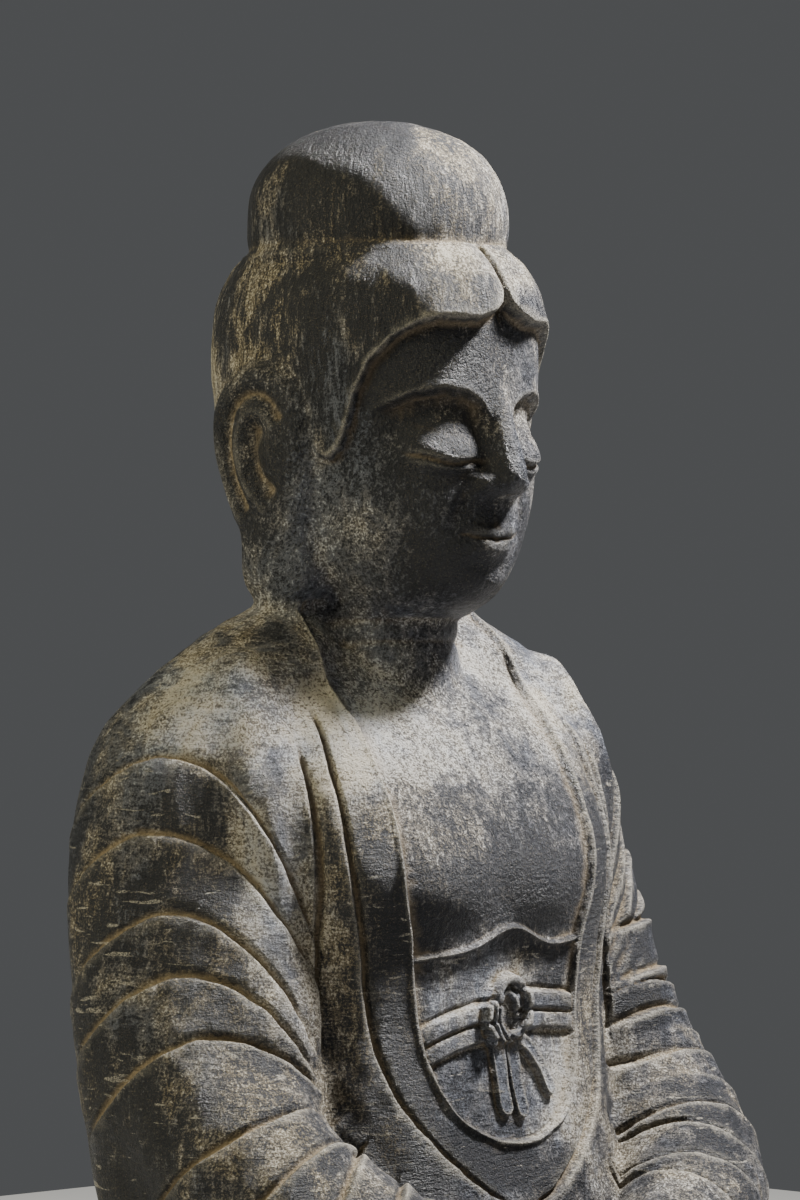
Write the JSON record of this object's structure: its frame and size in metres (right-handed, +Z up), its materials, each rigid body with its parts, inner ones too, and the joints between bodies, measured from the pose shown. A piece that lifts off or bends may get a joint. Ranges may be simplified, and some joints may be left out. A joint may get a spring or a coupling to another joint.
{
  "type": "limestone buddha statue",
  "caption": "Seated limestone Buddha in a heavy pleated robe on a low base, carved from one block, made to stand indoors.",
  "frame": {"origin": "centre of the base's underside", "axes": "+Z up from the base to the top of the crown, -Y the way the figure faces, +X to the figure's left"},
  "size_m": [0.86, 0.54, 1.1444],
  "materials": {
    "limestone": "dark weathered limestone with a matt, finely pitted skin, grey-black patina and tan dust in the carving"
  },
  "bodies": {
    "root": {"limestone_buddha": "limestone"}
  },
  "joints": []
}
